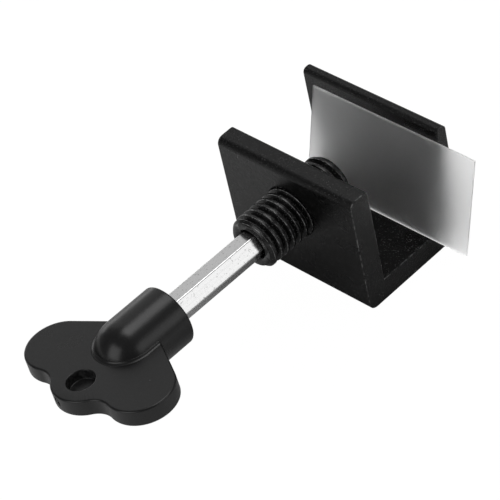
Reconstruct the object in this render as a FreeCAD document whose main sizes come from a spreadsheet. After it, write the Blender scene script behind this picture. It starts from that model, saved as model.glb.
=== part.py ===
"""Sliding window lock: a channel clamp whose coarse screw is turned by a hex key.

The channel hooks over the window rail. The screw runs through the thick front wall and
pins the sash against the rear wall, behind a loose plastic sheet that spares the frame.
Millimetres, +Z up, X along the channel. The origin is on the rear wall's inner face,
where the screw's axis meets it, so the front wall, screw and key lie on the -Y side.
"""
import FreeCAD, Part
import math
import os
import Sketcher

# name, size in millimetres or degrees, what it measures
SIZES = [
    ("clamp_length", 39.5, "channel along the rail"),
    ("clamp_depth", 30.5, "channel across both walls"),
    ("clamp_height", 31.2, "channel from underside to wall tops"),
    ("front_wall", 5.4, "thickness of the tapped wall"),
    ("rear_wall", 2.8, "thickness of the plain wall"),
    ("base_wall", 5.5, "thickness of the base"),
    ("axis_height", 14.1, "screw's axis above the base"),
    ("front_outer_round", 1.7, "top edge of the front wall, key side"),
    ("front_inner_round", 1.0, "top edge of the front wall, channel side"),
    ("rear_inner_round", 1.2, "top edge of the rear wall, channel side"),
    ("rear_outer_round", 1.2, "top edge of the rear wall, outer side"),
    ("base_round", 2.1, "two lower edges of the channel"),
    ("corner_round", 0.5, "two inner corners of the channel"),
    ("thread_diameter", 12.6, "outside diameter of the screw"),
    ("thread_pitch", 1.954, "rise of the right-hand thread in one turn"),
    ("thread_angle", 60.0, "angle between the thread's flanks"),
    ("crest_flat", 0.6, "flat along the top of the thread"),
    ("bore_flat", 0.25, "flat along the top of the tapped thread"),
    ("thread_gap", 0.08, "running clearance of the thread"),
    ("thread_start", 1.6, "crest at +X, out from the front face"),
    ("screw_length", 25.4, "length of the screw"),
    ("screw_reach", 13.0, "inner end of the screw past the front face"),
    ("screw_chamfer", 0.9, "cone at both ends of the screw"),
    ("mouth_chamfer", 0.3, "cone at both mouths of the tapped hole"),
    ("socket_across", 6.4, "socket across its flats"),
    ("socket_depth", 18.5, "depth of the socket"),
    ("socket_chamfer", 0.35, "cone at the mouth of the socket"),
    ("key_across", 6.0, "key across its flats"),
    ("key_insertion", 10.5, "key inside the socket"),
    ("key_chamfer", 0.4, "cone at the tip of the key"),
    ("key_roll", 5.5, "turn of the key at rest, degrees, +X side up"),
    ("hub_start", 37.5, "near end of the hub from the front face"),
    ("hub_diameter", 14.4, "hub of the grip"),
    ("hub_length", 12.2, "round bar of the hub, before its domed end"),
    ("hub_bevel", 0.4, "near edge of the hub"),
    ("shank_depth", 12.0, "shank inside the hub"),
    ("grip_thickness", 4.1, "thickness of the grip's plate"),
    ("grip_bevel", 0.4, "edges of the grip's plate"),
    ("side_lobe_place", 57.7, "centres of the side lobes from the front face"),
    ("side_lobe_offset", 12.6, "centres of the side lobes from the axis"),
    ("side_lobe_radius", 7.7, "side lobes"),
    ("middle_lobe_place", 61.0, "centre of the middle lobe from the front face"),
    ("middle_lobe_radius", 8.1, "middle lobe"),
    ("notch_radius", 5.0, "hollows between the lobes"),
    ("shoulder_angle", 62.0, "straight sides from the axis"),
    ("recess_place", 62.9, "centre of the grip's round recess from the front face"),
    ("recess_diameter", 6.2, "round recess in the grip's upper face"),
    ("recess_depth", 2.4, "round recess, which doesn't go through the plate"),
    ("recess_bevel", 0.2, "edge of the recess"),
    ("sheet_length", 47.1, "plastic sheet along the channel"),
    ("sheet_height", 23.4, "plastic sheet along its slope"),
    ("sheet_thickness", 0.5, "plastic sheet"),
    ("sheet_inset", 2.9, "sheet's end from the channel's left end"),
    ("sheet_foot", 6.9, "sheet's foot from the rear wall"),
]

# places worked out from the sizes
FRONT_FACE = "(Sizes.rear_wall - Sizes.clamp_depth)"
BASE_TOP = "(-Sizes.axis_height)"
UNDERSIDE = "(" + BASE_TOP + " - Sizes.base_wall)"
TOP = "(" + UNDERSIDE + " + Sizes.clamp_height)"
INNER_END = "(" + FRONT_FACE + " + Sizes.screw_reach)"
OUTER_END = "(" + INNER_END + " - Sizes.screw_length)"
FLANK = "tan(Sizes.thread_angle / 2 * 1deg)"
SLOPE = "cos(Sizes.thread_angle / 2 * 1deg)"
THREAD_RADIUS = "(Sizes.thread_diameter / 2)"
OPEN_HALF = "((Sizes.thread_pitch - Sizes.crest_flat) / 2)"
ROOT_RADIUS = "(" + THREAD_RADIUS + " - " + OPEN_HALF + " / " + FLANK + ")"
BORE_RADIUS = "(" + ROOT_RADIUS + " + Sizes.bore_flat / 2 / " + FLANK + " + Sizes.thread_gap)"
OVERCUT = 0.3

UP = FreeCAD.Vector(0, 0, 1)

doc = FreeCAD.newDocument("sliding_window_lock")
sheet = doc.addObject("Spreadsheet::Sheet", "Sizes")
for row, (name, size, meaning) in enumerate(SIZES, start=1):
    sheet.set("A%d" % row, name)
    sheet.set("B%d" % row, str(size))
    sheet.set("C%d" % row, meaning)
    sheet.setAlias("B%d" % row, name)
doc.recompute()


def number(expression):
    """The value of an expression of the sheet, for a first placing of sketch geometry."""
    return float(sheet.evalExpression(expression))


def new_body(name):
    """A named sub-part."""
    body = doc.addObject("PartDesign::Body", name)
    body.Label = name
    return body


def datum(body, role):
    """One of the body's own origin planes or axes."""
    return [item for item in body.Origin.OriginFeatures if item.Role == role][0]


def new_sketch(body, name, plane, height=None):
    """A sketch on an origin plane, or above it by an expression along the plane's normal."""
    sketch = body.newObject("Sketcher::SketchObject", name)
    sketch.AttachmentSupport = [(datum(body, plane), "")]
    sketch.MapMode = "FlatFace"
    if height is not None:
        sketch.setExpression("AttachmentOffset.Base.z", height)
    return sketch


def bind(sketch, constraint, expression):
    """Add a driving constraint whose value follows an expression."""
    index = sketch.addConstraint(constraint)
    sketch.setExpression("Constraints[%d]" % index, expression)


def pin(sketch, geometry, point, across, up):
    """Fix a point of the sketch by its two coordinates, each an expression."""
    for kind, expression in (("DistanceX", across), ("DistanceY", up)):
        value = number(expression)
        bind(sketch, Sketcher.Constraint(kind, -1, 1, geometry, point, value), expression)


def polygon(sketch, corners):
    """A closed outline of straight edges through corners given as expressions."""
    places = [FreeCAD.Vector(number(across), number(up), 0) for across, up in corners]
    for start, end in zip(places, places[1:] + places[:1]):
        sketch.addGeometry(Part.LineSegment(start, end), False)
    for index, (across, up) in enumerate(corners):
        pin(sketch, index, 1, across, up)
        sketch.addConstraint(Sketcher.Constraint("Coincident", index, 2, (index + 1) % len(corners), 1))


def circle(sketch, across, up, radius):
    """A circle whose centre and radius are expressions."""
    centre = FreeCAD.Vector(number(across), number(up), 0)
    shape = Part.Circle(centre, FreeCAD.Vector(0, 0, 1), number(radius))
    index = sketch.addGeometry(shape, False)
    pin(sketch, index, 3, across, up)
    bind(sketch, Sketcher.Constraint("Radius", index, number(radius)), radius)


def feature(body, kind, name, profile, **values):
    """A feature of the body; values given as text are expressions."""
    item = body.newObject("PartDesign::" + kind, name)
    item.Profile = profile
    for prop, value in values.items():
        if isinstance(value, str) and prop not in ("SideType", "Type"):
            item.setExpression(prop, value)
        else:
            setattr(item, prop, value)
    doc.recompute()
    return item


def edges_where(shape, test):
    """Names of the shape's edges whose middle point and edge pass a test."""
    names = []
    for index, edge in enumerate(shape.Edges, start=1):
        middle = edge.valueAt((edge.FirstParameter + edge.LastParameter) / 2)
        if test(middle, edge):
            names.append("Edge%d" % index)
    return names


def soften(body, name, kind, names, size):
    """Round or bevel the named edges of the body's last feature."""
    base = body.Tip
    item = body.newObject("PartDesign::" + kind, name)
    item.Base = (base, names)
    item.setExpression("Radius" if kind == "Fillet" else "Size", size)
    doc.recompute()
    return item


def roll_with_key(body):
    """Turn a body of the key about the screw's axis to where the key stands at rest."""
    body.Placement = FreeCAD.Placement(FreeCAD.Vector(), FreeCAD.Rotation(FreeCAD.Vector(0, -1, 0), 1.0))
    body.setExpression("Placement.Rotation.Angle", "Sizes.key_roll")
    doc.recompute()


def near(value, expression):
    """Whether a coordinate is at the place that an expression gives."""
    return abs(value - number(expression)) < 1e-4


def long_edges(shape, across, up):
    """Edges along X at the given Y and Z."""
    def along(middle, edge):
        tangent = edge.tangentAt(edge.FirstParameter)
        return abs(tangent.x) > 0.999 and near(middle.y, across) and near(middle.z, up)
    return edges_where(shape, along)


def hexagon(sketch, across_flats):
    """A hexagon about the axis with two flats level, in line with the grip's plate."""
    half = "(" + across_flats + " / 2)"
    short = "(" + across_flats + " / 2 / sqrt(3))"
    wide = "(" + across_flats + " / sqrt(3))"
    corners = [(wide, "0"), (short, half), ("-" + short, half),
               ("-" + wide, "0"), ("-" + short, "-" + half), (short, "-" + half)]
    polygon(sketch, corners)


def groove_outline(sketch, middle, floor_radius, floor_half, rim_radius, rim_half):
    """A thread groove's trapezoid at +X: narrow at its floor and open at its rim."""
    corners = [(floor_radius, middle + " - " + floor_half), (rim_radius, middle + " - " + rim_half),
               (rim_radius, middle + " + " + rim_half), (floor_radius, middle + " + " + floor_half)]
    polygon(sketch, corners)


def helix_start(end, shift):
    """The last place of a groove at +X that lies at least a turn before the given end."""
    crest = "(" + FRONT_FACE + " - Sizes.thread_start + " + shift + ")"
    turns = "ceil((" + crest + " - " + end + ") / Sizes.thread_pitch + 1)"
    return "(" + crest + " - Sizes.thread_pitch * " + turns + ")"


def cut_thread(body, name, sketch, length):
    """Sweep a groove outline along the right-hand helix about the Y axis."""
    before = body.Tip.Shape.Volume
    item = body.newObject("PartDesign::SubtractiveHelix", name)
    item.Profile = sketch
    item.ReferenceAxis = (datum(body, "Y_Axis"), [""])
    item.Mode = 1
    item.setExpression("Pitch", "Sizes.thread_pitch * 1mm")
    item.setExpression("Turns", "ceil(" + length + " / Sizes.thread_pitch) + 3")
    item.Angle = 0
    item.LeftHanded = False
    item.Reversed = False
    doc.recompute()
    if not item.Shape.Volume < before - 1.0:
        raise RuntimeError(name + " cuts nothing")
    return item


def make_clamp_body():
    """Extruded channel with a tapped hole through its thick front wall."""
    body = new_body("clamp_body")
    profile = new_sketch(body, "channel_profile", "YZ_Plane")
    front_inner = "(" + FRONT_FACE + " + Sizes.front_wall)"
    corners = [(FRONT_FACE, UNDERSIDE), ("Sizes.rear_wall", UNDERSIDE), ("Sizes.rear_wall", TOP), ("0", TOP),
               ("0", BASE_TOP), (front_inner, BASE_TOP), (front_inner, TOP), (FRONT_FACE, TOP)]
    polygon(profile, corners)
    feature(body, "Pad", "channel", profile, Length="Sizes.clamp_length * 1mm", SideType="Symmetric")
    rounds = [
        ("front_outer_round", [(FRONT_FACE, TOP)]),
        ("front_inner_round", [(front_inner, TOP)]),
        ("rear_inner_round", [("0", TOP)]),
        ("rear_outer_round", [("Sizes.rear_wall", TOP)]),
        ("base_round", [(FRONT_FACE, UNDERSIDE), ("Sizes.rear_wall", UNDERSIDE)]),
        ("corner_round", [(front_inner, BASE_TOP), ("0", BASE_TOP)]),
    ]
    for name, places in rounds:
        names = []
        for across, up in places:
            names += long_edges(body.Tip.Shape, across, up)
        soften(body, name + "s", "Fillet", names, "Sizes." + name + " * 1mm")

    # the bore's half outline carries a cone at each mouth
    bore = new_sketch(body, "bore_outline", "XY_Plane")
    wide = "(" + THREAD_RADIUS + " + Sizes.thread_gap + Sizes.mouth_chamfer)"
    slant = "(" + wide + " - " + BORE_RADIUS + ")"
    corners = [("0", FRONT_FACE), (wide, FRONT_FACE), (BORE_RADIUS, FRONT_FACE + " + " + slant),
               (BORE_RADIUS, front_inner + " - " + slant), (wide, front_inner), ("0", front_inner)]
    polygon(bore, corners)
    feature(body, "Groove", "bore", bore, ReferenceAxis=(datum(body, "Y_Axis"), [""]), Angle=360.0)

    start = helix_start(FRONT_FACE, "0")
    thread = new_sketch(body, "tapped_groove", "XY_Plane")
    half = "(Sizes.crest_flat / 2 + Sizes.thread_gap / " + SLOPE + ")"
    floor_half = "(" + half + " - Sizes.thread_gap * " + FLANK + ")"
    rim_radius = "(" + BORE_RADIUS + " - %g)" % OVERCUT
    rim_half = "(" + half + " + (" + THREAD_RADIUS + " - " + rim_radius + ") * " + FLANK + ")"
    groove_outline(thread, start, "(" + THREAD_RADIUS + " + Sizes.thread_gap)", floor_half, rim_radius, rim_half)
    cut_thread(body, "tapped_thread", thread, "Sizes.front_wall")
    return body


def make_lock_screw():
    """Headless coarse screw with a hexagon socket in its outer end."""
    body = new_body("lock_screw")
    blank = new_sketch(body, "screw_outline", "XY_Plane")
    tip = "(" + THREAD_RADIUS + " - Sizes.screw_chamfer)"
    corners = [("0", OUTER_END), (tip, OUTER_END), (THREAD_RADIUS, OUTER_END + " + Sizes.screw_chamfer"),
               (THREAD_RADIUS, INNER_END + " - Sizes.screw_chamfer"), (tip, INNER_END), ("0", INNER_END)]
    polygon(blank, corners)
    feature(body, "Revolution", "screw_blank", blank, ReferenceAxis=(datum(body, "Y_Axis"), [""]), Angle=360.0)

    thread = new_sketch(body, "screw_groove", "XY_Plane")
    start = helix_start(OUTER_END, "Sizes.thread_pitch / 2")
    rim_radius = "(" + THREAD_RADIUS + " + %g)" % OVERCUT
    rim_half = "(" + OPEN_HALF + " + %g * %s)" % (OVERCUT, FLANK)
    polygon(thread, [(ROOT_RADIUS, start), (rim_radius, start + " - " + rim_half), (rim_radius, start + " + " + rim_half)])
    cut_thread(body, "screw_thread", thread, "Sizes.screw_length")

    socket = new_sketch(body, "socket_outline", "XZ_Plane", "-" + OUTER_END + " * 1mm")
    socket.AttachmentOffset = FreeCAD.Placement(socket.AttachmentOffset.Base, FreeCAD.Rotation(UP, 1.0))
    socket.setExpression("AttachmentOffset.Rotation.Angle", "Sizes.key_roll")
    hexagon(socket, "Sizes.socket_across")
    before = body.Tip.Shape.Volume
    pocket = feature(body, "Pocket", "socket", socket, Length="Sizes.socket_depth * 1mm")
    if not pocket.Shape.Volume < before - 1.0:
        raise RuntimeError("the socket cuts nothing")

    mouth = new_sketch(body, "socket_mouth_outline", "XY_Plane")
    corner_radius = "(Sizes.socket_across / sqrt(3) + Sizes.socket_chamfer)"
    cone_end = OUTER_END + " + " + corner_radius
    polygon(mouth, [("0", OUTER_END), (corner_radius, OUTER_END), ("0", cone_end)])
    feature(body, "Groove", "socket_mouth", mouth, ReferenceAxis=(datum(body, "Y_Axis"), [""]), Angle=360.0)
    return body


def make_key_shank():
    """Hexagon bar from inside the screw's socket to inside the grip."""
    body = new_body("key_shank")
    tip = "(" + OUTER_END + " + Sizes.key_insertion)"
    length = "(" + tip + " - " + FRONT_FACE + " + Sizes.hub_start + Sizes.shank_depth)"
    section = new_sketch(body, "shank_section", "XZ_Plane", "-" + tip + " * 1mm")
    hexagon(section, "Sizes.key_across")
    feature(body, "Pad", "shank", section, Length=length + " * 1mm")
    names = edges_where(body.Tip.Shape, lambda middle, edge: near(middle.y, tip))
    soften(body, "shank_tip", "Chamfer", names, "Sizes.key_chamfer * 1mm")
    roll_with_key(body)
    return body


def arc_between(centre, start, end, clockwise):
    """An arc from start to end about a centre, going clockwise or not."""
    radius = (start - centre).Length
    first = math.atan2(start.y - centre.y, start.x - centre.x)
    last = math.atan2(end.y - centre.y, end.x - centre.x)
    if clockwise:
        first, last = last, first
    if last < first:
        last += 2 * math.pi
    return Part.ArcOfCircle(Part.Circle(centre, FreeCAD.Vector(0, 0, 1), radius), first, last)


def join_smoothly(sketch, first, second):
    """Make two pieces of an outline tangent where their ends meet."""
    for one in (1, 2):
        for other in (1, 2):
            gap = sketch.getPoint(first, one) - sketch.getPoint(second, other)
            if gap.Length < 1e-6:
                sketch.addConstraint(Sketcher.Constraint("Tangent", first, one, second, other))


def trefoil(sketch):
    """The grip's outline: two straight shoulders, two side lobes, a middle lobe and hollows.

    The shoulders meet on the axis inside the hub. Each hollow is an arc that touches the
    side lobe and the middle lobe from outside: its centre lies at the sums of the radii.
    """
    side_place = FRONT_FACE + " - Sizes.side_lobe_place"
    middle_place = FRONT_FACE + " - Sizes.middle_lobe_place"
    side = FreeCAD.Vector(number("Sizes.side_lobe_offset"), number(side_place), 0)
    middle = FreeCAD.Vector(0, number(middle_place), 0)
    side_radius = number("Sizes.side_lobe_radius")
    to_side = side_radius + number("Sizes.notch_radius")
    to_middle = number("Sizes.middle_lobe_radius + Sizes.notch_radius")
    shoulder = math.radians(number("Sizes.shoulder_angle"))
    touch = side + FreeCAD.Vector(math.cos(shoulder), math.sin(shoulder), 0) * side_radius
    apex = FreeCAD.Vector(0, touch.y + touch.x / math.tan(shoulder), 0)
    between = middle - side
    along = (to_side ** 2 - to_middle ** 2 + between.Length ** 2) / (2 * between.Length)
    away = math.sqrt(to_side ** 2 - along ** 2)
    step = between * (1 / between.Length)
    notch = side + step * along + FreeCAD.Vector(-step.y, step.x, 0) * away
    side_end = side + (notch - side) * (side_radius / to_side)
    middle_end = middle + (notch - middle) * (1 - number("Sizes.notch_radius") / to_middle)

    def left(place):
        return FreeCAD.Vector(-place.x, place.y, 0)

    pieces = [
        Part.LineSegment(apex, touch),
        arc_between(side, touch, side_end, True),
        arc_between(notch, side_end, middle_end, False),
        arc_between(middle, middle_end, left(middle_end), True),
        arc_between(left(notch), left(middle_end), left(side_end), False),
        arc_between(left(side), left(side_end), left(touch), True),
        Part.LineSegment(left(touch), apex),
    ]
    sketch.addGeometry(pieces, False)
    for index in range(len(pieces) - 1):
        join_smoothly(sketch, index, index + 1)
    sketch.addConstraint(Sketcher.Constraint("Coincident", len(pieces) - 1, 2, 0, 1))
    pin(sketch, 1, 3, "Sizes.side_lobe_offset", side_place)
    pin(sketch, 3, 3, "0", middle_place)
    pin(sketch, 5, 3, "-Sizes.side_lobe_offset", side_place)
    radii = ["side_lobe_radius", "notch_radius", "middle_lobe_radius", "notch_radius", "side_lobe_radius"]
    for index, name in enumerate(radii, start=1):
        radius = number("Sizes." + name)
        bind(sketch, Sketcher.Constraint("Radius", index, radius), "Sizes." + name + " * 1mm")
    fall = "(90 - Sizes.shoulder_angle)"
    bind(sketch, Sketcher.Constraint("Angle", 0, -math.radians(number(fall))), "-" + fall + " * 1deg")
    bind(sketch, Sketcher.Constraint("Angle", 6, math.radians(number(fall))), fall + " * 1deg")


def hub_outline(sketch):
    """Half of the hub: its flat near face, its side, and a quarter circle for the dome."""
    near_end = FRONT_FACE + " - Sizes.hub_start"
    dome = near_end + " - Sizes.hub_length"
    radius = "Sizes.hub_diameter / 2"
    corner = FreeCAD.Vector(number(radius), number(near_end), 0)
    crown = FreeCAD.Vector(0, number(dome) - number(radius), 0)
    edge = FreeCAD.Vector(corner.x, number(dome), 0)
    foot = FreeCAD.Vector(0, corner.y, 0)
    centre = FreeCAD.Vector(0, edge.y, 0)
    sketch.addGeometry([
        Part.LineSegment(foot, corner),
        Part.LineSegment(corner, edge),
        arc_between(centre, edge, crown, True),
        Part.LineSegment(crown, foot),
    ], False)
    sketch.addConstraint(Sketcher.Constraint("Coincident", 0, 2, 1, 1))
    join_smoothly(sketch, 1, 2)
    sketch.addConstraint(Sketcher.Constraint("Coincident", 2, 1, 3, 1))
    sketch.addConstraint(Sketcher.Constraint("Coincident", 3, 2, 0, 1))
    sketch.addConstraint(Sketcher.Constraint("Vertical", 1))
    sketch.addConstraint(Sketcher.Constraint("Vertical", 3))
    pin(sketch, 0, 1, "0", near_end)
    pin(sketch, 0, 2, radius, near_end)
    pin(sketch, 2, 3, "0", dome)


def make_key_handle():
    """Moulded trefoil grip with a round hub on the shank and a round recess in its upper face."""
    body = new_body("key_handle")
    outline = new_sketch(body, "grip_outline", "XY_Plane")
    trefoil(outline)
    feature(body, "Pad", "grip", outline, Length="Sizes.grip_thickness * 1mm", SideType="Symmetric")
    half = "Sizes.grip_thickness / 2"
    rims = edges_where(body.Tip.Shape, lambda middle, edge: near(abs(middle.z), half))
    soften(body, "grip_bevels", "Chamfer", rims, "Sizes.grip_bevel * 1mm")

    recess = new_sketch(body, "recess_outline", "XY_Plane", half + " * 1mm")
    recess_place = FRONT_FACE + " - Sizes.recess_place"
    circle(recess, "0", recess_place, "Sizes.recess_diameter / 2")
    feature(body, "Pocket", "recess", recess, Length="Sizes.recess_depth * 1mm")

    def recess_rim(middle, edge):
        away = math.hypot(middle.x, middle.y - number(recess_place))
        return near(away, "Sizes.recess_diameter / 2") and near(middle.z, half)

    rims = edges_where(body.Tip.Shape, recess_rim)
    soften(body, "recess_bevel", "Chamfer", rims, "Sizes.recess_bevel * 1mm")

    hub = new_sketch(body, "hub_outline", "XY_Plane")
    hub_outline(hub)
    feature(body, "Revolution", "hub", hub, ReferenceAxis=(datum(body, "Y_Axis"), [""]), Angle=360.0)
    near_end = FRONT_FACE + " - Sizes.hub_start"

    def near_rim(middle, edge):
        return near(middle.y, near_end) and near(math.hypot(middle.x, middle.z), "Sizes.hub_diameter / 2")

    soften(body, "hub_bevels", "Chamfer", edges_where(body.Tip.Shape, near_rim), "Sizes.hub_bevel * 1mm")

    seat = new_sketch(body, "shank_seat_outline", "XZ_Plane", "-(" + near_end + ") * 1mm")
    hexagon(seat, "Sizes.key_across")
    before = body.Tip.Shape.Volume
    pocket = feature(body, "Pocket", "shank_seat", seat, Length="Sizes.shank_depth * 1mm", Reversed=True)
    if not pocket.Shape.Volume < before - 1.0:
        raise RuntimeError("the shank's seat cuts nothing")
    roll_with_key(body)
    return body


def make_protective_sheet():
    """Loose plastic sheet that stands on the base and leans on the rear wall.

    Its foot's rear edge is on the base and its rear top edge on the wall, so the sine of
    its lean is the foot's distance from the wall over the sheet's height.
    """
    plate = doc.addObject("Part::Box", "protective_sheet")
    plate.Label = "protective_sheet"
    plate.setExpression("Length", "Sizes.sheet_length * 1mm")
    plate.setExpression("Width", "Sizes.sheet_thickness * 1mm")
    plate.setExpression("Height", "Sizes.sheet_height * 1mm")
    lean = "asin(Sizes.sheet_foot / Sizes.sheet_height)"
    plate.Placement = FreeCAD.Placement(FreeCAD.Vector(), FreeCAD.Rotation(FreeCAD.Vector(-1, 0, 0), 10))
    plate.setExpression("Placement.Rotation.Angle", lean)
    plate.setExpression("Placement.Base.x", "(Sizes.sheet_inset - Sizes.clamp_length / 2) * 1mm")
    plate.setExpression("Placement.Base.y", "(-Sizes.sheet_foot - Sizes.sheet_thickness * cos(" + lean + ")) * 1mm")
    plate.setExpression("Placement.Base.z", "(" + BASE_TOP + " + Sizes.sheet_thickness * sin(" + lean + ")) * 1mm")
    return plate


parts = [make_clamp_body(), make_lock_screw(), make_key_shank(), make_key_handle(), make_protective_sheet()]
doc.recompute()

for item in doc.Objects:
    if "Invalid" in item.State or "Error" in item.State:
        raise RuntimeError(item.Name + " failed")
for part in parts:
    if part.Shape.isNull() or not part.Shape.isValid():
        raise RuntimeError(part.Label + " has no valid shape")

os.makedirs("parts", exist_ok=True)
for part in parts:
    part.Shape.exportStep("parts/" + part.Label + ".step")
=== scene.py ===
import bmesh
import bpy
import numpy as np
from mathutils import Matrix


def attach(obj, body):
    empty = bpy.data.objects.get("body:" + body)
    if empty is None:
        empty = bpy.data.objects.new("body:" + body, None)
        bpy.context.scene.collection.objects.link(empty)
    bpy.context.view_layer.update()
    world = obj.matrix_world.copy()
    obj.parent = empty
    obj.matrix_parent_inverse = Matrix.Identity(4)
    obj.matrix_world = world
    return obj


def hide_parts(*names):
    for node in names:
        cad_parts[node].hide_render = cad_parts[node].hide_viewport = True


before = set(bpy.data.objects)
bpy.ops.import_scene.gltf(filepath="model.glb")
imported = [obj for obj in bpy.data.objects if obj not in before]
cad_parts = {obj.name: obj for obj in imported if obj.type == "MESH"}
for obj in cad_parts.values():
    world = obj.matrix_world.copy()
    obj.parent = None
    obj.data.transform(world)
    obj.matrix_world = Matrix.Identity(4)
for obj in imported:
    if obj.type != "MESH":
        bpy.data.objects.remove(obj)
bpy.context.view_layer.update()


# Channel of the clamp: a black anodised aluminium extrusion, sawn to length, with a thick
# tapped front wall, a base and a thinner rear wall. The die rounds its long edges, and its
# sawn ends are only broken with a file, which rubs the black off. Sizes are in millimetres.
mm = 0.001
weld_reach = 2e-7
channel_half = 19.75
front_face, front_inner, rear_inner, rear_outer = -27.7, -22.3, 0.0, 2.8
underside, base_top, wall_top = -19.6, -14.1, 11.6
foot_round, rear_top_round, inside_round, front_lip_round, front_top_round = 2.1, 1.2, 0.5, 1.0, 1.7
round_steps = 9
end_break, worn_width = 0.12, 0.12
front_top_corner, front_top_wear = 6, 1.7
pitch, first_crest = 1.954, -29.3
turn_steps = 180
key_roll = np.radians(5.5)
tapped_bore, tapped_groove, tapped_mouth = 5.424, 6.38, 6.68
groove_half, groove_foot = 0.346, 0.898


def rounded_outline(corners, radii, steps):
    """Closed outline through corners, each cut by an arc that touches both of its sides.

    The arc's centre lies on the bisector, radius over the sine of the half angle away. The
    second array holds the outline's outward normals, for corners listed anticlockwise.
    """
    corners = np.asarray(corners, float)
    radii = np.asarray(radii, float)[:, None]
    back = np.roll(corners, 1, axis=0) - corners
    ahead = np.roll(corners, -1, axis=0) - corners
    back /= np.linalg.norm(back, axis=1, keepdims=True)
    ahead /= np.linalg.norm(ahead, axis=1, keepdims=True)
    half = np.arccos(np.clip((back * ahead).sum(axis=1, keepdims=True), -1, 1)) / 2
    bisector = back + ahead
    bisector /= np.linalg.norm(bisector, axis=1, keepdims=True)
    centre = corners + bisector * radii / np.sin(half)
    first = corners + back * radii / np.tan(half) - centre
    last = corners + ahead * radii / np.tan(half) - centre
    sweep = (np.pi - 2 * half)[:, :, None]
    share = np.linspace(0, 1, steps)[None, :, None]
    arms = np.sin((1 - share) * sweep) * first[:, None] + np.sin(share * sweep) * last[:, None]
    arms /= np.sin(sweep)
    turn = back[:, 0] * ahead[:, 1] - back[:, 1] * ahead[:, 0]
    outward = arms / radii[:, :, None] * np.where(turn < 0, 1.0, -1.0)[:, None, None]
    return (centre[:, None] + arms).reshape(-1, 2), outward.reshape(-1, 2)


def band_quads(rows, columns):
    """Corner numbers of the quads of a grid of points whose last column meets the first."""
    row = np.arange(rows - 1)[:, None]
    column = np.arange(columns)[None, :]
    beside = (column + 1) % columns
    corners = (row * columns + column, row * columns + beside,
               (row + 1) * columns + beside, (row + 1) * columns + column)
    return np.stack(corners, axis=-1).reshape(-1, 4)


def thread_wall(ends, offsets, radius):
    """Points and quads of a threaded wall round the Y axis, in rows that climb with the thread.

    A row keeps its offset from a crest: y = crest + turns * pitch + offset - pitch * angle /
    full turn, held between the two ends. The radius is a function of offset and y. After a
    full turn a row meets the row one pitch lower, which closes the wall.
    """
    per_turn = len(offsets)
    lowest = np.floor((ends[0] - first_crest) / pitch) - 1
    highest = np.ceil((ends[1] - first_crest) / pitch) + 3
    turns = np.arange(lowest, highest)
    offset = np.tile(offsets, len(turns))[:, None]
    start = first_crest + np.repeat(turns, per_turn)[:, None] * pitch + offset
    angle = key_roll + np.arange(turn_steps)[None, :] * 2 * np.pi / turn_steps
    climb = pitch * angle / (2 * np.pi)
    y = np.clip(start - climb, *ends)
    held = (y - first_crest + climb) / pitch
    r = radius(np.abs(held - np.round(held)) * pitch, y)
    points = np.stack([r * np.cos(angle), y, r * np.sin(angle)], axis=-1).reshape(-1, 3)
    row = np.arange(per_turn, len(start) - 1)[:, None]
    column = np.arange(turn_steps)[None, :]
    wrap = np.where(column == turn_steps - 1, -per_turn, 0)
    beside = (column + 1) % turn_steps
    corners = (row * turn_steps + column, (row + wrap) * turn_steps + beside,
               (row + 1 + wrap) * turn_steps + beside, (row + 1) * turn_steps + column)
    return points, np.stack(corners, axis=-1).reshape(-1, 4)


def new_piece(name, parts, body, node, material, planes=(), marks=None, roll=0.0):
    """One mesh of several (points, quads) in millimetres, joined where their points meet.

    The holes left open in each plane (axis, place) are filled flat, rims and all. marks
    gives each point's share of wear and of painted light (painted highlight on the screw's
    crests, painted light in the grip's recess, a painted glow on the sheet's edges), kept as
    the attribute that the material reads. roll turns the whole mesh about the Y axis at the
    end, +X rising. Flat faces keep their own direction up to their rounded edges.
    """
    points = np.concatenate([part[0] for part in parts]) * mm
    starts = np.cumsum([0] + [len(part[0]) for part in parts])
    faces = np.concatenate([part[1] + start for part, start in zip(parts, starts)])
    mesh = bpy.data.meshes.new(name)
    mesh.from_pydata(points.tolist(), [], faces.tolist())
    wear_and_light = mesh.attributes.new("wear_and_light", "FLOAT", "POINT")
    if marks is not None:
        wear_and_light.data.foreach_set("value", marks.astype(np.float32))
    shape = bmesh.new()
    shape.from_mesh(mesh)
    bmesh.ops.remove_doubles(shape, verts=shape.verts, dist=weld_reach)
    bmesh.ops.dissolve_degenerate(shape, edges=shape.edges, dist=weld_reach / 2)
    for axis, place in planes:
        rim = [edge for edge in shape.edges if edge.is_boundary
               and all(abs(vertex.co[axis] - place * mm) < weld_reach for vertex in edge.verts)]
        bmesh.ops.triangle_fill(shape, use_beauty=True, use_dissolve=False, edges=rim)
    bmesh.ops.recalc_face_normals(shape, faces=shape.faces)
    bmesh.ops.rotate(shape, verts=shape.verts, matrix=Matrix.Rotation(-roll, 3, "Y"))
    shape.to_mesh(mesh)
    shape.free()
    mesh.shade_smooth()
    piece = bpy.data.objects.new(name, mesh)
    bpy.context.scene.collection.objects.link(piece)
    mesh.materials.append(material)
    even = piece.modifiers.new("even_shading", "WEIGHTED_NORMAL")
    even.weight = 100
    even.keep_sharp = False
    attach(piece, body)
    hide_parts(node)


def grey(level):
    """An even grey as a colour for a node."""
    return (level, level, level, 1.0)


def fill(tree, node, inputs):
    """Set the node's inputs to values, or link them to the outputs of other nodes."""
    for key, value in dict(inputs).items():
        if isinstance(value, bpy.types.NodeSocket):
            tree.links.new(value, node.inputs[key])
        else:
            node.inputs[key].default_value = value


def add_node(tree, kind, inputs=(), **settings):
    """A node of the tree with its settings and its inputs."""
    node = tree.nodes.new(kind)
    for name, value in settings.items():
        setattr(node, name, value)
    fill(tree, node, inputs)
    return node


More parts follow.
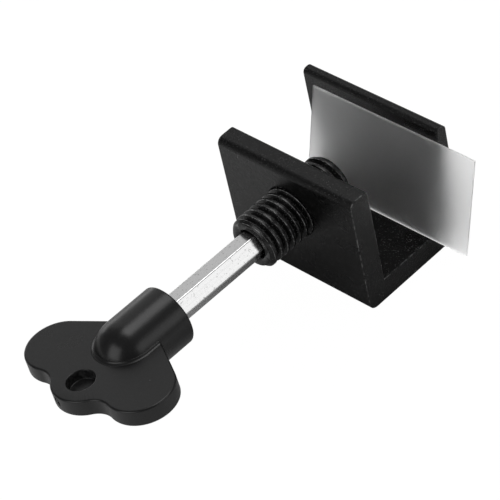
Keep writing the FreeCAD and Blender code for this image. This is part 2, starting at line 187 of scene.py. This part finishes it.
def noise(tree, place, size, detail, rough=0.5):
    """Even noise with this many grains to the metre, from zero to one."""
    inputs = {"Vector": place, "Scale": size, "Detail": detail, "Roughness": rough}
    return add_node(tree, "ShaderNodeTexNoise", inputs).outputs["Fac"]


def ramp(tree, value, start, end, low=0.0, high=1.0, kind="LINEAR"):
    """Low where the value is start, high where it is end, and between them on the way."""
    inputs = {"Value": value, "From Min": start, "From Max": end, "To Min": low, "To Max": high}
    return add_node(tree, "ShaderNodeMapRange", inputs, interpolation_type=kind).outputs["Result"]


def combine(tree, operation, first, second, **settings):
    """Two numbers combined by a sum, a product or the like."""
    inputs = {0: first, 1: second}
    return add_node(tree, "ShaderNodeMath", inputs, operation=operation, **settings).outputs["Value"]


def mix_colour(tree, share, first, second):
    """The first colour where the share is zero, the second where it is one."""
    inputs = {"Factor": share, "A": first, "B": second}
    return add_node(tree, "ShaderNodeMix", inputs, data_type="RGBA").outputs["Result"]


def new_material(name):
    """A node material, its tree and its Principled shader."""
    material = bpy.data.materials.new(name)
    material.use_nodes = True
    return material, material.node_tree, material.node_tree.nodes["Principled BSDF"]


def build_finish_group():
    """Grain, smudges and rubbed edges of a black finish, for every black piece.

    Grain is fine noise, Smudge is broad noise for the gloss, and the third output is the
    piece's own mark attribute broken up by noise, plus a few specks. The marks are real wear
    on the channel, wear and a painted highlight on the screw's crests, and painted light in
    the grip's recess.
    """
    patch_size, patch_bare, patch_worn = 1100.0, 0.38, 0.68
    speck_size, speck_bare, speck_worn = 3300.0, 0.69, 0.78
    group = bpy.data.node_groups.new("black_finish", "ShaderNodeTree")
    for name in ("Grain Size", "Smudge Size", "Wear And Light Amount", "Specks"):
        group.interface.new_socket(name, in_out="INPUT", socket_type="NodeSocketFloat")
    for name in ("Grain", "Smudge", "Wear And Light"):
        group.interface.new_socket(name, in_out="OUTPUT", socket_type="NodeSocketFloat")
    entry = add_node(group, "NodeGroupInput").outputs
    place = add_node(group, "ShaderNodeTexCoord").outputs["Object"]
    edge = add_node(group, "ShaderNodeAttribute", attribute_name="wear_and_light").outputs["Fac"]
    patch_noise, speck_noise = noise(group, place, patch_size, 3.0, 0.6), noise(group, place, speck_size, 0.0)
    patches = ramp(group, patch_noise, patch_bare, patch_worn, kind="SMOOTHSTEP")
    dots = ramp(group, speck_noise, speck_bare, speck_worn, kind="SMOOTHSTEP")
    rubbed_and_lit = combine(group, "MULTIPLY", combine(group, "MULTIPLY", edge, patches), entry["Wear And Light Amount"])
    specks = combine(group, "MULTIPLY", dots, entry["Specks"])
    add_node(group, "NodeGroupOutput", {
        "Grain": noise(group, place, entry["Grain Size"], 3.0, 0.6),
        "Smudge": noise(group, place, entry["Smudge Size"], 2.0),
        "Wear And Light": combine(group, "MAXIMUM", rubbed_and_lit, specks)})
    return group


finish_group = build_finish_group()


def black_finish(name, colour, wear_and_light_grey, roughness, spread, grain, smudge, wear_and_light_amount, specks, bump):
    """A black material: gloss varied by the smudges, colour by the grain, edges rubbed."""
    # Its marks are real wear, and on the screw and grip also painted highlight and painted light.
    dark_share, pale_share, relief_depth = 0.4, 1.7, 0.00013
    smudge_low, smudge_high = 0.3, 0.7
    material, tree, shader = new_material(name)
    amounts = {"Grain Size": grain, "Smudge Size": smudge, "Wear And Light Amount": wear_and_light_amount, "Specks": specks}
    effect = add_node(tree, "ShaderNodeGroup", amounts, node_tree=finish_group)
    dark, pale = [(*[channel * share for channel in colour], 1) for share in (dark_share, pale_share)]
    grained = mix_colour(tree, effect.outputs["Grain"], dark, pale)
    relief = add_node(tree, "ShaderNodeBump", {
        "Height": effect.outputs["Grain"], "Strength": bump, "Distance": relief_depth})
    fill(tree, shader, {
        "Base Color": mix_colour(tree, effect.outputs["Wear And Light"], grained, grey(wear_and_light_grey)),
        "Roughness": ramp(tree, effect.outputs["Smudge"], smudge_low, smudge_high,
                          roughness - spread, roughness + spread),
        "Normal": relief.outputs["Normal"]})
    return material, tree, shader


anodised, anodised_tree, anodised_shader = black_finish(
    "black_anodised", colour=(0.0034, 0.0034, 0.0034), wear_and_light_grey=0.14, roughness=0.28, spread=0.04,
    grain=3400.0, smudge=110.0, wear_and_light_amount=0.8, specks=0.36, bump=0.7)
# Painted shade: the channel's upward faces near the base get less gloss, darkening them as in shade.
body_gloss, shaded_floor_gloss = 0.35, 0.1
floor_fade = ((base_top + 5.1) * mm, (base_top + 1.1) * mm)
body_place = add_node(anodised_tree, "ShaderNodeTexCoord")
facing = add_node(anodised_tree, "ShaderNodeSeparateXYZ", {"Vector": body_place.outputs["Normal"]})
level = add_node(anodised_tree, "ShaderNodeSeparateXYZ", {"Vector": body_place.outputs["Object"]})
low_share = ramp(anodised_tree, level.outputs["Z"], *floor_fade)
shaded_floor_share = combine(anodised_tree, "MULTIPLY", low_share, facing.outputs["Z"], use_clamp=True)
anodised_shader.inputs["Specular IOR Level"].default_value = body_gloss
painted_shade_gloss = ramp(anodised_tree, shaded_floor_share, 0.0, 1.0, body_gloss, shaded_floor_gloss)
fill(anodised_tree, anodised_shader, {"Specular IOR Level": painted_shade_gloss})

channel_corners = [(front_face, underside), (rear_outer, underside), (rear_outer, wall_top),
                   (rear_inner, wall_top), (rear_inner, base_top), (front_inner, base_top),
                   (front_inner, wall_top), (front_face, wall_top)]
channel_radii = [foot_round, foot_round, rear_top_round, rear_top_round,
                 inside_round, inside_round, front_lip_round, front_top_round]
outline, outward = rounded_outline(channel_corners, channel_radii, round_steps)
stations = [(-channel_half, end_break + worn_width, 0), (-channel_half, end_break, 1),
            (-channel_half + end_break, 0, 1), (-channel_half + end_break + worn_width, 0, 0)]
stations += [(-x, inset, mark) for x, inset, mark in stations[::-1]]
rings = np.concatenate([np.column_stack([np.full(len(outline), x), outline - outward * inset])
                        for x, inset, mark in stations])
strips = band_quads(len(stations), len(outline))
along_x = np.ptp(rings[strips][:, :, 0], axis=1) > channel_half
tall = np.ptp(rings[strips][:, :, 2], axis=1) > (wall_top - base_top) / 2
in_front = rings[strips].mean(axis=1)[:, 1] < front_inner + end_break
tap_side = np.array([0.15, groove_half, 0.62, 0.9])
tap_offsets = np.concatenate([[-0.95], -tap_side[::-1], tap_side])


def tapped_radius(offset, y):
    """Tapped groove over the screw's crest, opened by a cone at each mouth of the hole."""
    groove = np.interp(offset, [groove_half, groove_foot], [tapped_groove, tapped_bore])
    return np.maximum(groove, tapped_mouth - np.minimum(y - front_face, front_inner - y))


tapped = thread_wall((front_face, front_inner), tap_offsets, tapped_radius)
corner_wear = np.ones(len(outline))
corner_wear[front_top_corner * round_steps:] = front_top_wear
channel_marks = [corner_wear * mark for x, inset, mark in stations] + [np.zeros(len(tapped[0]))]
new_piece("channel", [(rings, strips[~(along_x & tall & in_front)]), tapped], "clamp", "clamp_body", anodised,
          planes=((1, front_face), (1, front_inner), (0, -channel_half), (0, channel_half)),
          marks=np.concatenate(channel_marks))


# Coarse lock screw: headless steel with a right-hand thread and a hexagon socket, black
# oxide with a trace of oil. Both corners of each flat crest are painted light grey: partly
# bare steel where the black has come off, partly a painted highlight for the crests' shine.
screw_ends = (-40.1, -14.7)
screw_tip_radius, tip_centre = 5.4, 0.0005
socket_flat, socket_floor, socket_mouth, socket_centre = 3.2, -21.6, 4.045, 1e-4
profile_offset = [0.25, 0.29, 0.32, 0.36, 0.93, pitch / 2]
profile_radius = [6.3, 6.288, 6.25, 6.19, 5.203, 5.17]
# Crest corners painted light grey: partly wear, partly a painted highlight.
crest_wear_and_glint_offset, crest_wear_and_glint_share = [0.25, 0.28, 0.33, 0.36], [0, 1, 1, 0]
screw_side = np.array([0.25, 0.29, 0.32, 0.36, 0.55, 0.8, 0.93])
screw_offsets = np.concatenate([-screw_side[::-1], [0.0], screw_side])


def screw_radius(offset, y):
    """Thread with slightly broken crest corners and root, cut by a cone at both ends."""
    thread = np.interp(offset, profile_offset, profile_radius)
    return np.minimum(thread, screw_tip_radius + np.minimum(y - screw_ends[0], screw_ends[1] - y))


def hexagon_radius(angle, half_flat):
    """Distance from the axis to a hexagon with corners at the key's roll and every sixth turn."""
    from_flat = (angle - key_roll) % (np.pi / 3) - np.pi / 6
    return half_flat / np.cos(from_flat)


def turned_ring(radius, y):
    """Points round the Y axis, with one radius and one y for all the spokes or for each."""
    return np.column_stack([radius * np.cos(spokes), np.broadcast_to(y, turn_steps), radius * np.sin(spokes)])


spokes = key_roll + np.arange(turn_steps) * 2 * np.pi / turn_steps
wall = hexagon_radius(spokes, socket_flat)
socket_rows = [(screw_tip_radius, screw_ends[0]), (socket_mouth, screw_ends[0]),
               (wall, screw_ends[0] + socket_mouth - wall), (wall, socket_floor),
               (wall * socket_centre, socket_floor)]
socket = np.concatenate([turned_ring(radius, y) for radius, y in socket_rows])
tip_rows = [(screw_tip_radius, screw_ends[1]), (tip_centre, screw_ends[1])]
tip = np.concatenate([turned_ring(radius, y) for radius, y in tip_rows])
thread_points, thread_faces = thread_wall(screw_ends, screw_offsets, screw_radius)
turned = np.arctan2(thread_points[:, 2], thread_points[:, 0])
from_crest = (thread_points[:, 1] - first_crest + pitch * turned / (2 * np.pi)) / pitch
from_crest = np.abs(from_crest - np.round(from_crest)) * pitch
screw_wear_and_glint = [np.interp(from_crest, crest_wear_and_glint_offset, crest_wear_and_glint_share), np.zeros(len(socket) + len(tip))]
oxide = black_finish(
    "black_oxide", colour=(0.004, 0.004, 0.0041), wear_and_light_grey=0.45, roughness=0.24, spread=0.04,
    grain=3200.0, smudge=160.0, wear_and_light_amount=0.8, specks=0.2, bump=0.15)[0]
screw_parts = [(thread_points, thread_faces), (socket, band_quads(len(socket_rows), turn_steps)),
               (tip, band_quads(len(tip_rows), turn_steps))]
new_piece("screw", screw_parts, "screw", "lock_screw", oxide, marks=np.concatenate(screw_wear_and_glint))


# Hexagon shank of the key: drawn steel bar, bright plated, cut square and chamfered, and
# moulded into the grip. Fine draw lines run along it, its corners are slightly round and
# the plating is pitted here and there.
shank_ends, shank_chamfer = (-77.2, -29.6), 0.4
shank_flat, shank_round = 3.0, 0.5
draw_size, draw_bump, draw_depth = (2600.0, 16.0, 2600.0), 0.03, 0.00002
draw_low, draw_high, gloss_low, gloss_high = 0.3, 0.7, 0.18, 0.24
pit_size, pit_rim, pit_bottom, pit_darkness = 2300.0, 0.64, 0.72, 0.65
corner_angles = key_roll + np.arange(6) * np.pi / 3
hexagon = np.column_stack([np.cos(corner_angles), np.sin(corner_angles)]) * shank_flat / np.cos(np.pi / 6)
shank_outline, shank_outward = rounded_outline(hexagon, np.full(6, shank_round), round_steps)
shank_rows = [(shank_ends[0], 0.0), (shank_ends[1] - shank_chamfer, 0.0), (shank_ends[1], shank_chamfer)]
shank_points = np.concatenate([np.insert(shank_outline - shank_outward * inset, 1, y, axis=1)
                               for y, inset in shank_rows])
plated, plated_tree, plated_shader = new_material("bright_plating")
bar_place = add_node(plated_tree, "ShaderNodeTexCoord").outputs["Object"]
drawn_out = add_node(plated_tree, "ShaderNodeMapping", {"Vector": bar_place, "Scale": draw_size})
draw_lines = noise(plated_tree, drawn_out.outputs["Vector"], 1.0, 2.0)
draw_relief = add_node(plated_tree, "ShaderNodeBump", {
    "Height": draw_lines, "Strength": draw_bump, "Distance": draw_depth})
pit_noise = noise(plated_tree, bar_place, pit_size, 1.0)
bar_pits = ramp(plated_tree, pit_noise, pit_rim, pit_bottom, 0.0, pit_darkness)
fill(plated_tree, plated_shader, {
    "Base Color": mix_colour(plated_tree, bar_pits, grey(0.86), grey(0.3)),
    "Metallic": 1.0,
    "Roughness": ramp(plated_tree, draw_lines, draw_low, draw_high, gloss_low, gloss_high),
    "Normal": draw_relief.outputs["Normal"]})
shank_parts = [(shank_points, band_quads(len(shank_rows), len(shank_outline)))]
new_piece("shank", shank_parts, "key", "key_shank", plated, planes=((1, shank_ends[0]), (1, shank_ends[1])))


# Moulded grip of the key: black plastic moulded round the shank, a flat plate with three
# lobes and a blind round recess in its tail, and a round hub whose domed end runs into the
# plate with a small fillet on both sides.
side_centre, side_radius = np.array([12.6, front_face - 57.7]), 7.7
tail_centre, tail_radius = np.array([0.0, front_face - 61.0]), 8.1
hollow_radius, shoulder = 5.0, np.radians(62.0)
shoulder_start, shoulder_steps, lobe_steps, hollow_steps, tail_steps = 2.0, 5, 60, 24, 30
plate_half, plate_round, edge_steps = 2.05, 0.45, 5
recess_centre, recess_radius, recess_steps = np.array([0.0, front_face - 62.9]), 3.15, 72
recess_round, recess_floor = 0.25, -0.35
hub_start, dome_centre, hub_radius, hub_round = front_face - 37.5, front_face - 49.7, 7.2, 0.45
hub_turn_steps, dome_steps = 96, 30
fillet_radius, fillet_steps, fillet_start = 0.9, 8, 0.15
fillet_back = (0.8 * hub_radius, plate_half - 0.6)


def arc(centre, radius, start, end, steps):
    """Points of an arc from one angle to another, and the directions from its centre."""
    angle = np.linspace(start, end, steps)
    arms = np.column_stack([np.cos(angle), np.sin(angle)])
    return centre + radius * arms, arms


def grip_outline():
    """Right half of the trefoil from the shoulder to the tail, mirrored for the left.

    Each hollow's arc touches the side lobe and the tail lobe from outside, so its centre
    lies at the sums of the radii from theirs. Hollow normals point to its centre.
    """
    apart = tail_centre - side_centre
    length = np.linalg.norm(apart)
    to_side, to_tail = side_radius + hollow_radius, tail_radius + hollow_radius
    along = (to_side ** 2 - to_tail ** 2 + length ** 2) / (2 * length)
    step = apart / length
    beside = np.array([-step[1], step[0]]) * np.sqrt(to_side ** 2 - along ** 2)
    hollow = side_centre + step * along + beside
    to_hollow = hollow - side_centre
    from_tail = hollow - tail_centre
    side_end = np.arctan2(to_hollow[1], to_hollow[0])
    tail_end = np.arctan2(from_tail[1], from_tail[0])
    facing_out = np.array([np.cos(shoulder), np.sin(shoulder)])
    touch = side_centre + side_radius * facing_out
    inner = np.array([shoulder_start, touch[1] + (touch[0] - shoulder_start) / np.tan(shoulder)])
    run = np.linspace(0.0, 1.0, shoulder_steps + 1)[:-1, None]
    straight = inner + (touch - inner) * run
    lobe, lobe_out = arc(side_centre, side_radius, shoulder, side_end, lobe_steps)
    notch, notch_out = arc(hollow, hollow_radius, side_end + np.pi, tail_end + np.pi, hollow_steps)
    tail, tail_out = arc(tail_centre, tail_radius, tail_end, -np.pi / 2, tail_steps)
    straight_out = np.tile(facing_out, (shoulder_steps, 1))
    half = np.concatenate([straight, lobe[:-1], notch[:-1], tail])
    half_out = np.concatenate([straight_out, lobe_out[:-1], -notch_out[:-1], tail_out])
    mirror = np.array([-1.0, 1.0])
    whole = np.concatenate([half, half[-2::-1] * mirror])
    return whole, np.concatenate([half_out, half_out[-2::-1] * mirror])


def level_rows(line, out, insets, heights):
    """Points of a closed line moved in along its normals and set at each height."""
    return np.concatenate([np.column_stack([line - out * inset, np.full(len(line), height)])
                           for inset, height in zip(insets, heights)])


quarter = np.linspace(0, np.pi / 2, edge_steps)
rim_inset, rim_drop = plate_round * (1 - np.sin(quarter)), plate_round * (1 - np.cos(quarter))
rim_insets = np.concatenate([rim_inset, rim_inset[::-1]])
rim_heights = np.concatenate([plate_half - rim_drop, rim_drop[::-1] - plate_half])
grip_line, grip_out = grip_outline()
rim_points = level_rows(grip_line, grip_out, rim_insets, rim_heights)
recess_line, recess_out = arc(recess_centre, recess_radius, 0, 2 * np.pi, recess_steps + 1)
recess_inset, recess_drop = recess_round * (1 - np.sin(quarter)), recess_round * (1 - np.cos(quarter))
recess_insets = -np.concatenate([recess_inset, -recess_drop, [-recess_radius]])
recess_heights = np.concatenate([plate_half - recess_drop, recess_floor + recess_inset, [recess_floor]])
recess_points = level_rows(recess_line[:-1], recess_out[:-1], recess_insets, recess_heights)
# Painted light: the recess's wall foot and floor are painted lighter grey, lifting its shade.
recess_painted_light = [0, 0, 0, 0, 0.9, 1, 0.8, 0.5, 0.3, 0.2, 0.2]


def hub_points():
    """Round bar with a broken near rim and a half ball at its far end, revolved about Y."""
    near = np.column_stack([hub_radius - hub_round * (1 - np.sin(quarter)),
                            hub_start - hub_round * (1 - np.cos(quarter))])
    ball = np.linspace(0, np.pi / 2, dome_steps + 1)[:-1]
    far = np.column_stack([hub_radius * np.cos(ball), dome_centre - hub_radius * np.sin(ball)])
    line = np.concatenate([[[0.0, hub_start]], near, far, [[0.0, dome_centre - hub_radius]]])
    angle = np.linspace(0, 2 * np.pi, hub_turn_steps + 1)[:-1]
    points = np.stack([line[:, :1] * np.cos(angle), np.repeat(line[:, 1:], hub_turn_steps, axis=1),
                       line[:, :1] * np.sin(angle)], axis=-1)
    return points.reshape(-1, 3), band_quads(len(line), hub_turn_steps)


def foot_fillet(side):
    """Hollow fillet where hub and plate meet, on the side above (1) or below (-1) the plate.

    A ball of the fillet's radius that touches plate and hub has its centre a hub radius
    plus its own from the axis. Its track goes straight beside the bar, from the shoulder,
    and round the dome's centre. A back corner inside the grip closes the section.
    """
    straight_steps, round_end_steps = 12, 47
    centre_height = plate_half + fillet_radius
    reach = np.sqrt((hub_radius + fillet_radius) ** 2 - centre_height ** 2)
    turn = np.linspace(-np.pi / 2, np.arctan2(-centre_height, -reach), fillet_steps)
    away = np.append(reach + fillet_radius * np.cos(turn), fillet_back[0])
    above = np.append(centre_height + fillet_radius * np.sin(turn), fillet_back[1])
    touch = side_centre + side_radius * np.array([np.cos(shoulder), np.sin(shoulder)])
    begin = touch[1] + (touch[0] - away) / np.tan(shoulder) - fillet_start
    share = np.linspace(0, 1, straight_steps)[:, None]
    along = begin + (dome_centre - begin) * share
    right = np.stack([np.broadcast_to(away, along.shape), along, np.broadcast_to(above, along.shape)],
                     axis=-1)
    angle = np.linspace(0, np.pi, round_end_steps + 2)[1:-1, None]
    across, back = away * np.cos(angle), dome_centre - away * np.sin(angle)
    round_end = np.stack([across, back, np.broadcast_to(above, across.shape)], axis=-1)
    mirror = np.array([-1.0, 1.0, 1.0])
    first_end = np.broadcast_to(right[0].mean(axis=0), (1, len(away), 3))
    points = np.concatenate([first_end, right, round_end, right[::-1] * mirror, first_end * mirror])
    quads = band_quads(len(points), len(away))
    return points.reshape(-1, 3) * np.array([1.0, 1.0, side]), quads


moulding, moulding_tree, moulding_shader = black_finish(
    "moulded_black", colour=(0.0075, 0.0075, 0.0077), wear_and_light_grey=0.1, roughness=0.29, spread=0.02,
    grain=2200.0, smudge=90.0, wear_and_light_amount=0.4, specks=0.07, bump=0.05)
moulding_gloss = 0.5
rim_flaw, rim_flaw_size, rim_flaw_reach = (-0.0014, -0.0962, 0.0003), 0.0011, 0.0016
nick, nick_size, nick_reach, nick_grey = (0.01314, -0.0831, 0.00332), 0.00006, 0.00018, 0.09
flaw_grain, flaw_rim, flaw_bottom, flaw_depth = 2300.0, 0.47, 0.53, 0.0002
grip_place = add_node(moulding_tree, "ShaderNodeTexCoord").outputs["Object"]


def spot_share(centre, inner, outer):
    """One inside a ball of the inner radius round a place on the grip, none past the outer."""
    away = add_node(moulding_tree, "ShaderNodeVectorMath", {0: grip_place, 1: centre}, operation="DISTANCE")
    return ramp(moulding_tree, away.outputs["Value"], outer, inner)


flaw_holes = ramp(moulding_tree, noise(moulding_tree, grip_place, flaw_grain, 0.0), flaw_rim, flaw_bottom)
flawed = combine(moulding_tree, "MULTIPLY", flaw_holes, spot_share(rim_flaw, rim_flaw_size, rim_flaw_reach))
flaw_relief = add_node(moulding_tree, "ShaderNodeBump", {
    "Height": combine(moulding_tree, "MULTIPLY", flawed, -1.0), "Strength": 1.0, "Distance": flaw_depth,
    "Normal": moulding_shader.inputs["Normal"].links[0].from_socket})
nicked = mix_colour(moulding_tree, spot_share(nick, nick_size, nick_reach),
                    moulding_shader.inputs["Base Color"].links[0].from_socket, grey(nick_grey))
moulding_shader.inputs["Specular IOR Level"].default_value = moulding_gloss
fill(moulding_tree, moulding_shader, {
    "Base Color": nicked,
    "Specular IOR Level": ramp(moulding_tree, flawed, 0.0, 1.0, moulding_gloss, 0.0),
    "Normal": flaw_relief.outputs["Normal"]})
grip_parts = [(rim_points, band_quads(len(rim_heights), len(grip_line))),
              (recess_points, band_quads(len(recess_heights), recess_steps)),
              hub_points(), foot_fillet(1.0), foot_fillet(-1.0)]
grip_painted_light = np.zeros(sum(len(part[0]) for part in grip_parts))
grip_painted_light[len(rim_points):len(rim_points) + len(recess_points)] = np.repeat(recess_painted_light, recess_steps)
new_piece("grip", grip_parts, "key", "key_handle", moulding, planes=((2, plate_half), (2, -plate_half)),
          marks=grip_painted_light, roll=key_roll)


# Loose plastic sheet: frosted polypropylene strip cut with a blade, half a millimetre
# thick. It stands on the base and leans on the rear wall. Its cut edges carry a painted
# glow, a faint emission for the light they gather, strongest along the bottom edge.
sheet_ends, sheet_height, sheet_thickness, sheet_foot = (-16.85, 30.25), 23.4, 0.5, 6.9
cut_round, cut_steps, end_round = 0.08, 4, 0.06
edge_full, edge_end, top_glow, edge_glow_strength = 0.2, 0.3, 0.3, 0.25
frost_size, frost_bump, frost_depth = 1800.0, 0.4, 0.00008
lean = np.arcsin(sheet_foot / sheet_height)
sheet_corners = [(0, 0), (sheet_thickness, 0), (sheet_thickness, sheet_height), (0, sheet_height)]
sheet_line, sheet_out = rounded_outline(sheet_corners, np.full(4, cut_round), cut_steps)
side_heights = np.array([edge_full, edge_end, sheet_height - edge_end])
rear_side = np.column_stack([np.full(3, sheet_thickness), side_heights])
front_side = np.column_stack([np.zeros(3), side_heights[::-1]])
half_line = 2 * cut_steps
sheet_line = np.concatenate([sheet_line[:half_line], rear_side, sheet_line[half_line:], front_side])
sheet_out = np.concatenate([sheet_out[:half_line], np.tile([1.0, 0.0], (3, 1)),
                            sheet_out[half_line:], np.tile([-1.0, 0.0], (3, 1))])
sheet_rows = [(sheet_ends[0], end_round), (sheet_ends[0] + end_round, 0.0),
              (sheet_ends[1] - end_round, 0.0), (sheet_ends[1], end_round)]
flat_sheet = np.concatenate([np.column_stack([np.full(len(sheet_line), x), sheet_line - sheet_out * inset])
                             for x, inset in sheet_rows])
across, through, upward = flat_sheet.T
front_offset = sheet_thickness - through
sheet_points = np.column_stack([across, upward * np.sin(lean) - sheet_foot - front_offset * np.cos(lean),
                                base_top + upward * np.cos(lean) + front_offset * np.sin(lean)])
sheet_edge_glow = np.interp(upward, [0.0, edge_full, edge_end, sheet_height - edge_end, sheet_height - cut_round],
                        [1.0, 1.0, 0.0, 0.0, top_glow])
frosted, frosted_tree, frosted_shader = new_material("frosted_plastic")
frost_place = add_node(frosted_tree, "ShaderNodeTexCoord").outputs["Object"]
frost_noise = noise(frosted_tree, frost_place, frost_size, 2.0)
frost_relief = add_node(frosted_tree, "ShaderNodeBump", {
    "Height": frost_noise, "Strength": frost_bump, "Distance": frost_depth})
painted_edge_glow = add_node(frosted_tree, "ShaderNodeAttribute", attribute_name="wear_and_light").outputs["Fac"]
fill(frosted_tree, frosted_shader, {
    "Base Color": grey(0.95),
    "Roughness": 0.8,
    "IOR": 1.37,
    "Transmission Weight": 0.98,
    "Coat Weight": 0.85,
    "Coat Roughness": 0.42,
    "Coat IOR": 1.8,
    # Painted glow: the cut edges emit a faint light.
    "Emission Color": combine(frosted_tree, "MULTIPLY", painted_edge_glow, edge_glow_strength),
    "Emission Strength": 1.0,
    "Normal": frost_relief.outputs["Normal"]})
sheet_parts = [(sheet_points, band_quads(len(sheet_rows), len(sheet_line)))]
new_piece("sheet", sheet_parts, "clamp", "protective_sheet", frosted,
          planes=((0, sheet_ends[0]), (0, sheet_ends[1])), marks=sheet_edge_glow)


# Floor, light and camera: white paper just under the lock, darker in its shade, that looks
# pure white from the camera and through the sheet. A lamp overhead, cards of light to the
# right, in front and twice to the left, and a dim white room that gives the black its edges.
floor_gap, floor_half = 0.02, 3.0
shade_centre, shade_inner, shade_outer = (0.018, -0.028), 0.02, 0.052
shade_grey, paper_grey, paper_roughness = 0.42, 0.86, 0.8
paper_glow, glow_share = 1.045, 0.95
room_light, room_behind_sheet, room_near, room_far = 0.26, 0.2, 0.08, 0.26
floor_level = (underside - floor_gap) * mm
floor_mesh = bpy.data.meshes.new("floor")
floor_mesh.from_pydata([(-floor_half, -floor_half, floor_level), (floor_half, -floor_half, floor_level),
                        (floor_half, floor_half, floor_level), (-floor_half, floor_half, floor_level)],
                       [], [(0, 1, 2, 3)])
floor = bpy.data.objects.new("floor", floor_mesh)
bpy.context.scene.collection.objects.link(floor)
paper, paper_tree, paper_shader = new_material("white_paper")
paper_place = add_node(paper_tree, "ShaderNodeTexCoord").outputs["Object"]
from_shade = add_node(paper_tree, "ShaderNodeVectorMath", {0: paper_place, 1: (*shade_centre, floor_level)},
                      operation="DISTANCE").outputs["Value"]
paper_colour = ramp(paper_tree, from_shade, shade_inner, shade_outer, shade_grey, paper_grey,
                    kind="SMOOTHSTEP")
fill(paper_tree, paper_shader, {"Base Color": paper_colour, "Roughness": paper_roughness})
seen = add_node(paper_tree, "ShaderNodeLightPath").outputs
seen_white = combine(paper_tree, "MAXIMUM", seen["Is Camera Ray"], seen["Is Transmission Ray"])
glow = add_node(paper_tree, "ShaderNodeEmission", {"Color": grey(1.0), "Strength": paper_glow})
blend = add_node(paper_tree, "ShaderNodeMixShader", {
    0: combine(paper_tree, "MULTIPLY", seen_white, glow_share),
    1: paper_shader.outputs["BSDF"], 2: glow.outputs["Emission"]})
fill(paper_tree, paper_tree.nodes["Material Output"], {"Surface": blend.outputs["Shader"]})
floor_mesh.materials.append(paper)

world = bpy.data.worlds.new("studio")
bpy.context.scene.world = world
world.use_nodes = True
room_tree = world.node_tree
path = add_node(room_tree, "ShaderNodeLightPath").outputs
room_place = add_node(room_tree, "ShaderNodeTexCoord").outputs["Generated"]
room_axes = add_node(room_tree, "ShaderNodeSeparateXYZ", {"Vector": room_place})
mirrored = ramp(room_tree, room_axes.outputs["Y"], -1.0, 1.0, room_near, room_far)
dim = ramp(room_tree, path["Is Glossy Ray"], 0.0, 1.0, room_light, mirrored)
behind = combine(room_tree, "MULTIPLY", path["Is Transmission Ray"], room_behind_sheet)
direct = combine(room_tree, "MAXIMUM", path["Is Camera Ray"], behind)
fill(room_tree, room_tree.nodes["Background"], {
    "Color": grey(1.0), "Strength": ramp(room_tree, direct, 0.0, 1.0, dim, 1.0)})


def soft_light(name, place, width, height, power):
    """A rectangular lamp at a place, facing the lock; the lamp shines along its own -Z."""
    lock_middle = np.array([0.0, -0.045, 0.0])
    lamp = bpy.data.lights.new(name, "AREA")
    lamp.shape = "RECTANGLE"
    lamp.size, lamp.size_y, lamp.energy = width, height, power
    holder = bpy.data.objects.new(name, lamp)
    away = np.array(place, float) - lock_middle
    away /= np.linalg.norm(away)
    side = np.cross((0.0, 0.0, 1.0), away)
    side /= np.linalg.norm(side)
    turn = Matrix(np.column_stack([side, np.cross(away, side), away]).tolist()).to_4x4()
    holder.matrix_world = Matrix.Translation(place) @ turn
    bpy.context.scene.collection.objects.link(holder)


soft_light("overhead", place=(-0.046, 0.124, 0.574), width=0.32, height=0.32, power=0.75)
soft_light("right_card", place=(0.517, 0.123, 0.254), width=0.42, height=0.3, power=0.35)
soft_light("front_card", place=(-0.018, -0.589, 0.252), width=0.4, height=0.45, power=0.75)
soft_light("left_card", place=(-0.585, 0.08, 0.06), width=0.34, height=0.15, power=0.22)
soft_light("left_upper_card", place=(-0.44, 0.18, 0.34), width=0.42, height=0.4, power=0.17)

camera_place = (0.342398, -0.299032, 0.383217)
camera_right = np.array([0.710591, 0.681429, -0.175257])
camera_down = np.array([0.376041, -0.578331, -0.723966])
camera_forward = np.array([-0.594688, 0.44854, -0.667202])
picture_width, focal_pixels, sensor = 500.0, 2700.0, 36.0
lens = bpy.data.cameras.new("camera")
lens.sensor_width, lens.lens = sensor, focal_pixels * sensor / picture_width
lens.clip_start, lens.clip_end = 0.01, 10.0
camera = bpy.data.objects.new("camera", lens)
bpy.context.scene.collection.objects.link(camera)
aim = Matrix(np.column_stack([camera_right, -camera_down, -camera_forward]).tolist()).to_4x4()
camera.matrix_world = Matrix.Translation(camera_place) @ aim
bpy.context.scene.camera = camera
bpy.context.scene.view_settings.view_transform = "Standard"
